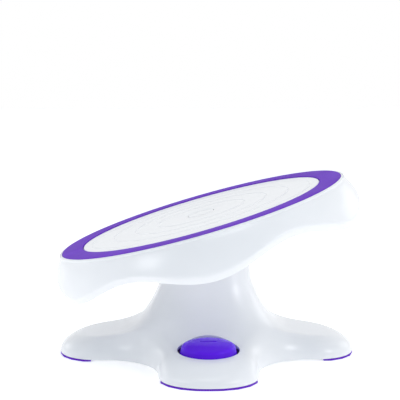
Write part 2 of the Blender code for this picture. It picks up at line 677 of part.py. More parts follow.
def make_platter_shell(spin):
    sides = LOBES * 12
    angles = [math.tau * i / sides for i in range(sides)]
    rings = [[(r * math.cos(a), r * math.sin(a), z) for a in angles] for r, z in platter_rows()]
    top = RING_TOP - RIM_STEP
    for part in (0.2, 0.55, 1.0):
        ring = []
        for a in angles:
            depth = (lobe_depth(a) - LIP_HEIGHT) * part
            r = skirt_radius(depth)
            ring.append((r * math.cos(a), r * math.sin(a), top - depth))
        rings.append(ring)
    for part in (0.5, 1.0):
        ring = []
        for a in angles:
            depth = lobe_depth(a) - LIP_HEIGHT * (1 - part)
            r = skirt_radius(lobe_depth(a) - LIP_HEIGHT) - LIP_TURN_IN * part ** 2
            ring.append((r * math.cos(a), r * math.sin(a), top - depth))
        rings.append(ring)
    mesh = loft("platter_shell", rings[::-1])
    shell = place("platter_shell", mesh, WHITE, spin)
    skin = shell.modifiers.new("wall", "SOLIDIFY")
    skin.thickness = DECK_THICK
    skin.offset = -1.0
    shell.modifiers.new("facets", "TRIANGULATE").quad_method = "FIXED"
    smooth(shell)


def make_platter_trim(spin):
    washer("grip_ring", RING_INNER, RING_OUTER, RING_TOP - RING_THICK, RING_TOP, GRIP, spin, steps=72)
    seat = DECK_TOP - HUB_SINK + GAP
    head, tip = seat + 1.2 * MM, HEAD_TOP - HEAD_THICK + 0.5 * MM
    screw = [(0, head), (7 * MM, head), (7 * MM, seat), (2.2 * MM, seat), (2.2 * MM, tip), (0, tip)]
    turned("pivot_screw", screw, ZINC, spin, steps=16)
    turned("centre_cap", [(0, DECK_TOP), (14.5 * MM, DECK_TOP), (14.5 * MM, head + GAP), (0, head + GAP)],
           WHITE, spin, steps=32)


# ---------------------------------------------------------------- assembly
make_base_shell()
make_base_plate()
make_feet()
make_base_screws()
make_yoke()
make_axle()
make_button()
make_springs()
make_lever()
make_lever_bracket()
make_lock_rod()
make_guide_tower()
tilt_frame = make_empty("tilt_axis", at=(0, 0, PIVOT_Z), turn=(0, -REST_TILT, 0))
spin_frame = make_empty("spin_axis", tilt_frame)
cage_frame = make_empty("cage_axis", tilt_frame)
make_tilt_head(tilt_frame)
make_index_sector(tilt_frame)
make_bearing(tilt_frame, cage_frame, spin_frame)
make_platter_shell(spin_frame)
make_platter_trim(spin_frame)
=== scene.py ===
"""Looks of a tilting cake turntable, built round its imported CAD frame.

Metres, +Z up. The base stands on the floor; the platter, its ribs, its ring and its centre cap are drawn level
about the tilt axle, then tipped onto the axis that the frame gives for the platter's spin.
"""
import json
import math

import bmesh
import bpy
from mathutils import Matrix, Vector


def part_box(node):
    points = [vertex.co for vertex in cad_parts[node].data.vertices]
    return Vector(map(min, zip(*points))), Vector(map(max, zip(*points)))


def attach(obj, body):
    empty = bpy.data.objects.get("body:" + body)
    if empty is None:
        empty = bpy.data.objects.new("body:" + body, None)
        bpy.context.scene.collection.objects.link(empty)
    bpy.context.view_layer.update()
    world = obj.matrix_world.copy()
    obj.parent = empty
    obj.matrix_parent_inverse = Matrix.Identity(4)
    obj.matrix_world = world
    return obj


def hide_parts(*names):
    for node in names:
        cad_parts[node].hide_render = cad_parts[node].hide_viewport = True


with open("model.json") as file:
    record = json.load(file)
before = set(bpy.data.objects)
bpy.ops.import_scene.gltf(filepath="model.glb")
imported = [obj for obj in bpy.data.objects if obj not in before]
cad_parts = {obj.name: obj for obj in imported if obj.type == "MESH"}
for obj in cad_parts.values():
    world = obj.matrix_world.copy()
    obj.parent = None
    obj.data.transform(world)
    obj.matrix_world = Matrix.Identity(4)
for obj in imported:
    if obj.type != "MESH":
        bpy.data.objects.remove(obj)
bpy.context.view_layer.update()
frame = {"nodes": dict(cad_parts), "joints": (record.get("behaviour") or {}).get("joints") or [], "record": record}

MM = 0.001
JOINTS = {joint["name"]: joint for joint in frame["joints"]}
PIVOT = Vector(JOINTS["tilt_hinge"]["pos_m"])
SPIN_AXIS = Vector(JOINTS["platter_spin"]["axis"]).normalized()
TILT = math.atan2(SPIN_AXIS.x, SPIN_AXIS.z)
TILTED = Matrix.Translation(PIVOT) @ Matrix.Rotation(TILT, 4, "Y")
UPRIGHT = Matrix.Identity(4)


# ---------------------------------------------------------------- measuring the frame
def local_points(node, place=UPRIGHT):
    """A CAD node's points as they lie before it is put in its place."""
    back = place.inverted()
    return [back @ vertex.co for vertex in frame["nodes"][node].data.vertices]


def turned_size(node, place):
    """(smallest radius, largest radius, lowest, highest) of a node that is round about its place's Z."""
    points = local_points(node, place)
    radii = [math.hypot(p.x, p.y) for p in points]
    heights = [p.z for p in points]
    return min(radii), max(radii), min(heights), max(heights)


# ---------------------------------------------------------------- materials
FLOW_SCALE = 14.0
POLISH_SCALE = 45.0
PORE_SCALE = 900.0
PORE_DEPTH = 0.1 * MM


def node_of(tree, kind, **values):
    """A new shader node with some of its inputs set."""
    node = tree.nodes.new(kind)
    for name, value in values.items():
        node.inputs[name.replace("_", " ")].default_value = value
    return node


def plastic(name, colour, roughness, grain, mottle=0.02, shine=0.5):
    """Moulded plastic: faint flow mottling in the colour, uneven polish and a fine moulded grain."""
    material = bpy.data.materials.new(name)
    material.use_nodes = True
    tree = material.node_tree
    shader = tree.nodes["Principled BSDF"]
    where = tree.nodes.new("ShaderNodeTexCoord")
    flow = node_of(tree, "ShaderNodeTexNoise", Scale=FLOW_SCALE, Detail=3.0, Roughness=0.5)
    tree.links.new(where.outputs["Object"], flow.inputs["Vector"])
    tint = tree.nodes.new("ShaderNodeValToRGB")
    tint.color_ramp.elements[0].position = 0.35
    tint.color_ramp.elements[0].color = (*[c * (1 - mottle) for c in colour], 1)
    tint.color_ramp.elements[1].position = 0.65
    tint.color_ramp.elements[1].color = (*[min(1, c * (1 + mottle)) for c in colour], 1)
    tree.links.new(flow.outputs["Fac"], tint.inputs["Fac"])
    tree.links.new(tint.outputs["Color"], shader.inputs["Base Color"])
    polish = node_of(tree, "ShaderNodeTexNoise", Scale=POLISH_SCALE, Detail=4.0, Roughness=0.6)
    tree.links.new(where.outputs["Object"], polish.inputs["Vector"])
    spread = node_of(tree, "ShaderNodeMapRange")
    spread.inputs["To Min"].default_value = roughness * 0.85
    spread.inputs["To Max"].default_value = roughness * 1.15
    tree.links.new(polish.outputs["Fac"], spread.inputs["Value"])
    tree.links.new(spread.outputs["Result"], shader.inputs["Roughness"])
    pores = node_of(tree, "ShaderNodeTexNoise", Scale=PORE_SCALE, Detail=2.0, Roughness=0.5)
    tree.links.new(where.outputs["Object"], pores.inputs["Vector"])
    bump = node_of(tree, "ShaderNodeBump", Strength=grain, Distance=PORE_DEPTH)
    tree.links.new(pores.outputs["Fac"], bump.inputs["Height"])
    tree.links.new(bump.outputs["Normal"], shader.inputs["Normal"])
    shader.inputs["Specular IOR Level"].default_value = shine
    return material


def metal(name, colour, roughness, stretch):
    """Bright metal with fine drawn or turned lines along one direction."""
    material = bpy.data.materials.new(name)
    material.use_nodes = True
    tree = material.node_tree
    shader = tree.nodes["Principled BSDF"]
    shader.inputs["Metallic"].default_value = 1.0
    where = tree.nodes.new("ShaderNodeTexCoord")
    lay = node_of(tree, "ShaderNodeMapping", Scale=stretch)
    tree.links.new(where.outputs["Object"], lay.inputs["Vector"])
    lines = node_of(tree, "ShaderNodeTexNoise", Scale=300.0, Detail=3.0, Roughness=0.6)
    tree.links.new(lay.outputs["Vector"], lines.inputs["Vector"])
    tint = tree.nodes.new("ShaderNodeValToRGB")
    tint.color_ramp.elements[0].color = (*[c * 0.88 for c in colour], 1)
    tint.color_ramp.elements[1].color = (*colour, 1)
    tree.links.new(lines.outputs["Fac"], tint.inputs["Fac"])
    tree.links.new(tint.outputs["Color"], shader.inputs["Base Color"])
    spread = node_of(tree, "ShaderNodeMapRange")
    spread.inputs["To Min"].default_value = roughness * 0.8
    spread.inputs["To Max"].default_value = roughness * 1.3
    tree.links.new(lines.outputs["Fac"], spread.inputs["Value"])
    tree.links.new(spread.outputs["Result"], shader.inputs["Roughness"])
    return material


WHITE = plastic("gloss_white_abs", (0.895, 0.905, 0.925), 0.24, grain=0.015, mottle=0.01)
INNER = plastic("matt_white_abs", (0.80, 0.82, 0.85), 0.48, grain=0.2)
VIOLET = plastic("blue_violet_abs", (0.13, 0.018, 0.87), 0.22, grain=0.02, mottle=0.03, shine=0.1)
GRIP = plastic("purple_grip_rubber", (0.145, 0.022, 0.56), 0.55, grain=0.2, mottle=0.05, shine=0.1)
ACETAL = plastic("natural_acetal", (0.80, 0.80, 0.77), 0.38, grain=0.1)
STEEL = metal("bright_steel", (0.66, 0.66, 0.68), 0.28, (1, 1, 12))
ZINC = metal("zinc_plate", (0.68, 0.69, 0.72), 0.33, (4, 4, 4))
SLOT_OF = {node["node"]: node["material_slot"] for node in frame["record"]["subparts"]}
FINISH = {"white_abs": WHITE, "inner_abs": INNER, "purple_abs": VIOLET, "purple_rubber": GRIP,
          "acetal": ACETAL, "steel": STEEL, "zinc_screw": ZINC}


# ---------------------------------------------------------------- mesh helpers
SHARP_ANGLE = 38.0


def link_mesh(name, bm):
    """Puts a bmesh into the scene as an object of its own."""
    mesh = bpy.data.meshes.new(name)
    bm.to_mesh(mesh)
    bm.free()
    thing = bpy.data.objects.new(name, mesh)
    bpy.context.scene.collection.objects.link(thing)
    return thing


def shade(mesh, sharp):
    mesh.shade_smooth()
    mesh.set_sharp_from_angle(angle=math.radians(sharp))


def make_piece(name, bm, body, nodes, slot, place=UPRIGHT, sharp=SHARP_ANGLE):
    """Turns a bmesh into a finished piece: its place goes into its mesh and it rides on a body."""
    bmesh.ops.transform(bm, matrix=place, verts=bm.verts)
    piece = link_mesh(name, bm)
    shade(piece.data, sharp)
    piece.data.materials.append(FINISH[slot])
    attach(piece, body)
    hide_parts(*nodes)
    return piece


def settle(piece):
    """Applies a piece's modifiers, so that its final mesh is what is kept."""
    bpy.context.view_layer.update()
    ready = piece.evaluated_get(bpy.context.evaluated_depsgraph_get())
    mesh = bpy.data.meshes.new_from_object(ready)
    piece.modifiers.clear()
    piece.data = mesh
    shade(mesh, SHARP_ANGLE)


def add_wall(piece, thickness):
    """Gives an open outer skin its wall, inwards."""
    wall = piece.modifiers.new("wall", "SOLIDIFY")
    wall.thickness = thickness
    wall.offset = -1.0


def cut_away(piece, cutter):
    """Cuts a helper's shape out of a piece after its other modifiers, and removes the helper."""
    cut = piece.modifiers.new(cutter.name, "BOOLEAN")
    cut.object = cutter
    cut.solver = "EXACT"
    settle(piece)
    bpy.data.objects.remove(cutter, do_unlink=True)


def face_up(bm):
    """Turns an open skin so that its faces point to the outside, which is mostly upwards."""
    if sum(face.normal.z for face in bm.faces) < 0:
        bmesh.ops.reverse_faces(bm, faces=bm.faces)


def slab(outline, low, high):
    """A flat outline extruded between two heights, and the points of its top."""
    bm = bmesh.new()
    pad = bm.faces.new([bm.verts.new((x, y, low)) for x, y in outline])
    lifted = bmesh.ops.extrude_face_region(bm, geom=[pad])["geom"]
    crest = [item for item in lifted if isinstance(item, bmesh.types.BMVert)]
    bmesh.ops.translate(bm, vec=(0, 0, high - low), verts=crest)
    bmesh.ops.recalc_face_normals(bm, faces=bm.faces)
    return bm, crest


def round_edges(bm, edges, offset, segments):
    bmesh.ops.bevel(bm, geom=edges, offset=offset, offset_type="OFFSET", segments=segments, profile=0.5,
                    affect="EDGES", clamp_overlap=True, material=-1)


def rounded(corners, steps=5):
    """An open outline of (x, y) or (x, y, radius) corners, with an arc at each corner that has a radius."""
    points = []
    for i, corner in enumerate(corners):
        here = Vector(corner[:2])
        if len(corner) == 2 or i in (0, len(corners) - 1):
            points.append(tuple(here))
            continue
        back = (Vector(corners[i - 1][:2]) - here).normalized()
        on = (Vector(corners[i + 1][:2]) - here).normalized()
        half = back.angle(on) / 2
        reach = corner[2] / math.tan(half)
        centre = here + (back + on).normalized() * (corner[2] / math.sin(half))
        start, end = here + back * reach - centre, here + on * reach - centre
        sweep = start.angle_signed(end)
        for k in range(steps + 1):
            points.append(tuple(centre + Matrix.Rotation(-sweep * k / steps, 2) @ start))
    return points


def spin_profile(profile, steps, closed=False):
    """Turns a profile of (radius, height) points a full turn about Z."""
    bm = bmesh.new()
    verts = [bm.verts.new((r, 0, z)) for r, z in profile]
    pairs = list(zip(verts, verts[1:])) + ([(verts[-1], verts[0])] if closed else [])
    edges = [bm.edges.new(pair) for pair in pairs]
    bmesh.ops.spin(bm, geom=verts + edges, cent=(0, 0, 0), axis=(0, 0, 1), angle=math.tau, steps=steps,
                   use_merge=True)
    bmesh.ops.remove_doubles(bm, verts=bm.verts, dist=1e-6)
    bmesh.ops.recalc_face_normals(bm, faces=bm.faces)
    return bm


def grow_rings(rings):
    """A surface grown ring by ring: each new ring is extruded from the one below and moved to its place."""
    bm = bmesh.new()
    verts = [bm.verts.new(point) for point in rings[0]]
    edges = [bm.edges.new((verts[i - 1], verts[i])) for i in range(len(verts))]
    for ring in rings[1:]:
        index = {vert: i for i, vert in enumerate(verts)}
        grown = bmesh.ops.extrude_edge_only(bm, edges=edges)["geom"]
        fresh = [item for item in grown if isinstance(item, bmesh.types.BMVert)]
        following = [None] * len(verts)
        for vert in fresh:
            below = next(edge.other_vert(vert) for edge in vert.link_edges if edge.other_vert(vert) in index)
            following[index[below]] = vert
        for vert, point in zip(following, ring):
            vert.co = point
        verts = following
        edges = [item for item in grown if isinstance(item, bmesh.types.BMEdge)]
    return bm


# ---------------------------------------------------------------- base
LEG_END = 120.0 * MM
LEG_CORNER = 44.0 * MM
LEG_HALF_WIDTH = 52.9 * MM
LEG_FILLET = 60.2 * MM
SHELL_WALL = 3.0 * MM
SECTION_POWER = 3.0
SHOULDER_POWER = 2.0
SIDE_SHOULDER = 17.0 * MM
TIP_SHOULDER = 28.0 * MM
TIP_START = 120.0 * MM
EDGE_HEIGHT = 1.5 * MM
NECK_HEIGHT = 50.0 * MM
MOUTH_ROUND = 0.985
MOUTH_LEDGE = 0.76
# The flare from the column's mouth down and out to the leg tips, as (reach, height) in millimetres
FLARE = [(44.5, 112), (48.5, 98), (52, 81), (55.8, 71.5), (60, 62), (66, 51), (72.5, 42), (80, 34.8),
         (92, 29.4), (110, 26.2), (128, 24), (146, 21.5), (170, 18)]
TIP_STEPS = 3
CORNER_STEPS = 4
FILLET_STEPS = 4


def arc(centre, radius, start, end, steps):
    """Points along an arc between two angles in degrees."""
    angles = [math.radians(start + (end - start) * i / steps) for i in range(steps + 1)]
    return [(centre[0] + radius * math.cos(a), centre[1] + radius * math.sin(a)) for a in angles]


def cross_outline(reach, inset=0.0):
    """Plan outline of the four-legged cross, from the tip of the +X leg right round."""
    end_radius, corner = LEG_END - inset, LEG_CORNER - inset
    half, fillet = LEG_HALF_WIDTH - inset, LEG_FILLET + inset
    end_x = reach - LEG_END
    corner_x = end_x + math.sqrt((end_radius - corner) ** 2 - (half - corner) ** 2)
    meet = math.degrees(math.atan2(half - corner, corner_x - end_x))
    octant = arc((end_x, 0), end_radius, 0, meet, TIP_STEPS)
    octant += arc((corner_x, half - corner), corner, meet, 90, CORNER_STEPS)[1:]
    octant += arc((half + fillet, half + fillet), fillet, -90, -135, FILLET_STEPS)
    quarter = octant + [(y, x) for x, y in reversed(octant[1:-1])]
    points = []
    for c, s in ((1, 0), (0, 1), (-1, 0), (0, -1)):
        points += [(x * c - y * s, x * s + y * c) for x, y in quarter]
    return points


def smooth_table(table, value):
    """A smooth curve through a short list of (position, height) points."""
    places = [p for p, _ in table]
    i = max(0, min(len(table) - 2, next((k for k, p in enumerate(places) if p > value), len(table)) - 1))
    (x0, y0), (x1, y1) = table[i], table[i + 1]

    def slope(k):
        low, high = table[max(0, k - 1)], table[min(len(table) - 1, k + 1)]
        return (high[1] - low[1]) / (high[0] - low[0])

    t = max(0.0, min(1.0, (value - x0) / (x1 - x0)))
    width = x1 - x0
    return ((1 + 2 * t) * (1 - t) ** 2 * y0 + t * (1 - t) ** 2 * width * slope(i)
            + t * t * (3 - 2 * t) * y1 + t * t * (t - 1) * width * slope(i + 1))


def reach_of(x, y):
    """How far out a point lies, on a scale whose level lines are the column's soft-cornered sections."""
    return (abs(x) ** SECTION_POWER + abs(y) ** SECTION_POWER) ** (1 / SECTION_POWER)


def flare_height(reach):
    """Height of the leg tops and of the column's side at a reach: both are one curve."""
    return smooth_table(FLARE, reach / MM) * MM


def column_reach(height):
    table = sorted((z, reach) for reach, z in FLARE)
    return smooth_table(table, height / MM) * MM


def leg_rings(reach, bottom):
    """Rings from the bottom edge up over the rounded shoulders of the legs."""
    outline = cross_outline(reach)
    rings = [[(x, y, bottom) for x, y in outline]]
    edge = bottom + EDGE_HEIGHT
    for part in (0.0, 0.04, 0.12, 0.25, 0.42, 0.62, 0.82, 1.0):
        rise = (1 - (1 - part) ** SHOULDER_POWER) ** (1 / SHOULDER_POWER)
        ring = []
        for i, (edge_x, edge_y) in enumerate(outline):
            along = max(0.0, (math.hypot(edge_x, edge_y) - TIP_START) / (reach - TIP_START))
            shoulder = SIDE_SHOULDER + (TIP_SHOULDER - SIDE_SHOULDER) * along
            x, y = cross_outline(reach, shoulder * part)[i]
            ring.append((x, y, edge + (flare_height(reach_of(x, y)) - edge) * rise))
        rings.append(ring)
    return rings


def base_rings(reach, bottom, top):
    """Rings of the base's outer skin: the legs, the flare, the column and the ledge in its mouth."""
    rings = leg_rings(reach, bottom)
    shoulder_ring = rings[-1]
    neck = column_reach(NECK_HEIGHT)
    for part in (0.15, 0.3, 0.45, 0.6, 0.75, 0.88, 1.0):
        ring = []
        for x, y, _ in shoulder_ring:
            scale = 1 + (neck / reach_of(x, y) - 1) * part
            ring.append((x * scale, y * scale, flare_height(reach_of(x * scale, y * scale))))
        rings.append(ring)
    neck_ring = rings[-1]
    neck_height = neck_ring[0][2]
    for part in (0.12, 0.25, 0.4, 0.55, 0.7, 0.85, 1.0):
        height = neck_height + (top - neck_height) * part
        scale = column_reach(height) / neck
        rings.append([(x * scale, y * scale, height) for x, y, _ in neck_ring])
    mouth = rings[-1]
    for scale in (MOUTH_ROUND, MOUTH_LEDGE):
        rings.append([(x * scale, y * scale, top) for x, y, _ in mouth])
    return rings


def make_base_shell():
    """The base's thin white casing, with the oval hole for the button in its front leg."""
    low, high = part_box("base_shell")
    bm = grow_rings(base_rings(high.x, low.z, high.z))
    bmesh.ops.recalc_face_normals(bm, faces=bm.faces)
    face_up(bm)
    shell = make_piece("base_casing", bm, "base", ["base_shell"], "white_abs")
    fine = shell.modifiers.new("fine", "SUBSURF")
    fine.levels = 2
    fine.render_levels = 2
    add_wall(shell, SHELL_WALL)
    cut_away(shell, button_hole())


# ---------------------------------------------------------------- release button
BUTTON_SIDE_GAP = 2.9 * MM
BUTTON_GAP = 1.1 * MM
BUTTON_FLARE = 1.4 * MM
BUTTON_WALL = 2.2 * MM
BUTTON_FLANGE = 4.0 * MM
FLANGE_THICK = 1.5 * MM
HOLE_DEPTH = 80.0 * MM
STEM = 5.0 * MM
BAR_HALF = 9.0 * MM
BAR_RADIUS = 1.5 * MM
BAR_RISE = 0.4 * MM
BAR_ROOT = 1.0 * MM


def button_place():
    """The button's own frame: its seat point, with Z up along the way it is pressed."""
    press = Vector(JOINTS["button_press"]["axis"]).normalized()
    turn = Matrix.Rotation(math.atan2(press.y, -press.z), 4, "X")
    points = local_points("release_button", turn)
    middle = (min(p.y for p in points) + max(p.y for p in points)) / 2
    return turn @ Matrix.Translation((0, middle, min(p.z for p in points)))


def button_size():
    """(half-length, half-width, height) of the button's cap in its own frame."""
    points = local_points("release_button", button_place())
    top = max(p.z for p in points)
    cap = [p for p in points if p.z > top * 0.5]
    return max(p.x for p in cap), max(p.y for p in cap), top


def button_hole():
    """An oval rod for cutting the button's hole, a little larger than the button's cap."""
    half_x, half_y, _ = button_size()
    bm = bmesh.new()
    bmesh.ops.create_cone(bm, cap_ends=True, segments=96, radius1=1, radius2=1, depth=HOLE_DEPTH)
    bmesh.ops.scale(bm, vec=(half_x + BUTTON_SIDE_GAP, half_y + BUTTON_GAP, 1), verts=bm.verts)
    place = button_place() @ Matrix.Translation((0, 0, HOLE_DEPTH / 2))
    bmesh.ops.transform(bm, matrix=place, verts=bm.verts)
    return link_mesh("button_hole", bm)


def lever_way():
    """A block for cutting the slot in the button's flange that the lever passes through."""
    low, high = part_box("release_lever")
    middle = button_place().translation.y
    start = Vector((low.x - 1 * MM, middle + 12 * MM, low.z - 3 * MM))
    end = Vector((high.x + 1 * MM, middle + 40 * MM, high.z + 7 * MM))
    bm = bmesh.new()
    bmesh.ops.create_cube(bm, size=1.0)
    bmesh.ops.scale(bm, vec=end - start, verts=bm.verts)
    bmesh.ops.translate(bm, vec=(start + end) / 2, verts=bm.verts)
    return link_mesh("lever_way", bm)


def make_button():
    """A domed oval cap, hollow inside, with a flange round its foot and a stem that meets the lever."""
    half_x, half_y, top = button_size()
    crown = [(0.0, top), (half_x * 0.3, top - 0.2 * MM), (half_x * 0.5, top - 0.7 * MM),
             (half_x * 0.64, top - 1.6 * MM)]
    foot, brim, bore = half_x + BUTTON_FLARE, half_x + BUTTON_FLANGE, half_x - BUTTON_WALL
    outer = rounded([crown[-1], (half_x * 0.93, top - 4.4 * MM, 6.0 * MM), (foot, 2.6 * MM, 1.0 * MM),
                     (foot, FLANGE_THICK, 0.4 * MM), (brim, FLANGE_THICK, 0.4 * MM), (brim, 0, 0.4 * MM),
                     (bore, 0)], 6)
    inner = rounded([(bore, 0), (bore, top - 6 * MM, 4 * MM), (STEM, top - 4 * MM, 1 * MM), (STEM, 0),
                     (0, 0)], 5)[1:]
    bm = spin_profile(crown[:-1] + outer + inner, 128)
    bmesh.ops.scale(bm, vec=(1, half_y / half_x, 1), verts=bm.verts)
    cap = make_piece("release_button_cap", bm, "button", ["release_button"], "purple_abs", button_place())
    cut_away(cap, lever_way())


def make_touch_bar():
    """A low raised bar in the middle of the button, to find it by touch."""
    top = button_size()[2]
    outline = arc((BAR_HALF - BAR_RADIUS, 0), BAR_RADIUS, -90, 90, 10)
    outline += arc((BAR_RADIUS - BAR_HALF, 0), BAR_RADIUS, 90, 270, 10)
    bm, crest = slab(outline, top - BAR_ROOT, top + BAR_RISE)
    rim = [edge for edge in bm.edges if all(vert in crest for vert in edge.verts)]
    round_edges(bm, rim, 0.25 * MM, 2)
    make_piece("button_touch_bar", bm, "button", ["release_button"], "purple_abs", button_place())


# ---------------------------------------------------------------- springs
SPRING_WIRE = 0.6 * MM
SPRING_TURNS = 4
SPRING_STEPS = 24 * SPRING_TURNS
BUTTON_SPRING_TRAVEL = 7.5 * MM
ROD_SPRING_TRAVEL = 3.5 * MM


def make_spring(name, node, travel):
    """A round-wire coil, drawn as short as it gets when its slide is pressed home."""
    low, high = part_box(node)
    centre = (low + high) / 2
    radius = (high.x - low.x) / 2 - SPRING_WIRE
    bottom, top = low.z + SPRING_WIRE, high.z - travel - SPRING_WIRE
    start = Matrix.Translation((centre.x + radius, centre.y, bottom)) @ Matrix.Rotation(math.pi / 2, 4, "X")
    bm = bmesh.new()
    bmesh.ops.create_circle(bm, segments=12, radius=SPRING_WIRE, matrix=start)
    bmesh.ops.spin(bm, geom=bm.verts[:] + bm.edges[:], cent=(centre.x, centre.y, 0), axis=(0, 0, 1),
                   angle=math.tau * SPRING_TURNS, dvec=(0, 0, (top - bottom) / SPRING_STEPS),
                   steps=SPRING_STEPS)
    bmesh.ops.holes_fill(bm, edges=bm.edges, sides=0)
    bmesh.ops.recalc_face_normals(bm, faces=bm.faces)
    make_piece(name, bm, "base", [node], "steel", sharp=60.0)


# ---------------------------------------------------------------- feet
def make_feet():
    """A soft pad under the tip of each leg, with the leg's own outline."""
    for side, turn in (("right", 0), ("back", 90), ("left", 180), ("front", 270)):
        low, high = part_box(f"foot_{side}")
        spin = Matrix.Rotation(math.radians(turn), 4, "Z")
        near, far = spin.inverted() @ Vector(low), spin.inverted() @ Vector(high)
        start, reach = sorted((abs(near.x), abs(far.x)))
        tip = sorted(((x, y) for x, y in cross_outline(reach) if x > start), key=lambda p: p[1])
        half = tip[-1][1]
        outline = [(start, -half)] + tip + [(start, half)]
        bm = slab(outline, 0, high.z - low.z)[0]
        round_edges(bm, bm.edges[:], 0.5 * MM, 3)
        make_piece(f"foot_pad_{side}", bm, "base", [f"foot_{side}"], "purple_rubber", spin)


# ---------------------------------------------------------------- platter
SKIRT_RADIUS = 178.0 * MM
SKIRT_BULGE = 46.0 * MM
SKIRT_DEPTH = 37.6 * MM
LOBE_DEPTH = 8.4 * MM
LOBES = 6
LIP_HEIGHT = 7.5 * MM
LIP_TURN_IN = 3.8 * MM
DECK_WALL = 2.7 * MM
CLEARANCE = 0.3 * MM
RIM_WIDTH = 1.6 * MM
RIM_STEP = 0.5 * MM
HUB_SINK = 3.0 * MM
CENTRE_HOLE = 4.4 * MM
WALL_STEPS = 16
LIP_STEPS = 6
GUIDE_RINGS = (50.8 * MM, 76.2 * MM, 101.6 * MM, 127.0 * MM)
RIBS = 12
RIB_THICK = 2.0 * MM
RIB_DEEP = 6.0 * MM
RIB_SPAN = (72.0 * MM, 152.0 * MM)


def lobe_depth(angle):
    """Depth of the skirt's wavy lower edge at an angle round the platter."""
    return SKIRT_DEPTH + LOBE_DEPTH * math.cos(LOBES * (angle + math.pi / 2))


def skirt_radius(rim, depth):
    bulge = max(0.0, 1 - depth / SKIRT_BULGE)
    return SKIRT_RADIUS - (SKIRT_RADIUS - rim) * bulge ** 2


def deck_profile():
    """The platter's top from its centre hole to its rim, and the rim's radius and height.

    On the way out it passes the hub's seat, the guide rings and the channel for the grip ring.
    """
    ring_in, ring_out, ring_low, ring_top = turned_size("grip_ring", TILTED)
    _, cap_out, _, deck = turned_size("centre_cap", TILTED)
    seat, hub = ring_low - CLEARANCE, deck - HUB_SINK
    rim, rim_top = ring_out + RIM_WIDTH, ring_top - RIM_STEP
    grooves = []
    for radius in GUIDE_RINGS:
        grooves += [(radius - 0.9 * MM, deck, 0.2 * MM), (radius - 0.3 * MM, deck - 0.6 * MM, 0.2 * MM),
                    (radius + 0.3 * MM, deck - 0.6 * MM, 0.2 * MM), (radius + 0.9 * MM, deck, 0.2 * MM)]
    corners = [(CENTRE_HOLE, hub), (cap_out + 0.5 * MM, hub, 0.5 * MM), (cap_out + 0.8 * MM, deck, 0.6 * MM),
               *grooves, (ring_in - 1.2 * MM, deck, 0.6 * MM), (ring_in - CLEARANCE, seat, 0.3 * MM),
               (ring_out + CLEARANCE, seat, 0.3 * MM), (ring_out + CLEARANCE, rim_top, 0.5 * MM),
               (rim, rim_top, 0.9 * MM), (rim + 1.0 * MM, rim_top - 2.5 * MM)]
    return rounded(corners, 4), rim, rim_top


def make_platter():
    """The deck and its skirt, spun as a plain collar that is then bellied out, waved and turned in."""
    flat, rim, rim_top = deck_profile()
    start = rim_top - flat[-1][1]
    collar = [(rim, rim_top - start - i * MM) for i in range(1, WALL_STEPS + LIP_STEPS + 1)]
    bm = spin_profile(flat + collar, LOBES * 48)
    for vert in bm.verts:
        step = (rim_top - start - vert.co.z) / MM
        if math.hypot(vert.co.x, vert.co.y) < rim - 0.5 * MM or step < 0.5:
            continue
        angle = math.atan2(vert.co.y, vert.co.x)
        wall_end = lobe_depth(angle) - LIP_HEIGHT
        if step <= WALL_STEPS + 0.01:
            depth = start + (wall_end - start) * step / WALL_STEPS
            radius = skirt_radius(rim, depth)
        else:
            part = (step - WALL_STEPS) / LIP_STEPS
            depth = wall_end + LIP_HEIGHT * part
            radius = skirt_radius(rim, wall_end) - LIP_TURN_IN * (0.55 * part + 0.45 * part ** 2)
        vert.co = (radius * math.cos(angle), radius * math.sin(angle), rim_top - depth)
    face_up(bm)
    platter = make_piece("platter_casing", bm, "platter", ["platter_shell"], "white_abs", TILTED)
    add_wall(platter, DECK_WALL)
    settle(platter)


def make_ribs():
    """Moulded ribs under the deck: twelve spokes between two hoops."""
    under = turned_size("centre_cap", TILTED)[3] - DECK_WALL + CLEARANCE
    bm = bmesh.new()
    near, far = RIB_SPAN
    for i in range(RIBS):
        spoke = bmesh.ops.create_cube(bm, size=1.0)["verts"]
        shape = Matrix.Diagonal((far - near, RIB_THICK, RIB_DEEP, 1))
        spot = Matrix.Translation(((near + far) / 2, 0, under - RIB_DEEP / 2))
        turn = Matrix.Rotation(math.tau * (i + 0.5) / RIBS, 4, "Z")
        bmesh.ops.transform(bm, matrix=turn @ spot @ shape, verts=spoke)
    half = RIB_THICK / 2
    for radius in RIB_SPAN:
        profile = [(radius - half, under), (radius + half, under), (radius + half, under - RIB_DEEP),
                   (radius - half, under - RIB_DEEP)]
        verts = [bm.verts.new((r, 0, z)) for r, z in profile]
        edges = [bm.edges.new((verts[k - 1], verts[k])) for k in range(4)]
        bmesh.ops.spin(bm, geom=verts + edges, cent=(0, 0, 0), axis=(0, 0, 1), angle=math.tau, steps=144,
                       use_merge=True)
    bmesh.ops.recalc_face_normals(bm, faces=bm.faces)
    round_edges(bm, [edge for edge in bm.edges if edge.calc_face_angle(0) > 1.0], 0.4 * MM, 2)
    make_piece("platter_ribs", bm, "platter", ["platter_shell"], "white_abs", TILTED)


def make_grip_ring():
    """The flat purple ring round the deck, with softened edges."""
    ring_in, ring_out, low, top = turned_size("grip_ring", TILTED)
    middle = (low + top) / 2
    profile = rounded([(ring_in, middle), (ring_in, top, 0.8 * MM), (ring_out, top, 0.9 * MM),
                       (ring_out, low, 0.3 * MM), (ring_in, low, 0.3 * MM), (ring_in, middle)], 5)
    bm = spin_profile(profile[:-1], 288, closed=True)
    make_piece("grip_band", bm, "platter", ["grip_ring"], "purple_rubber", TILTED)


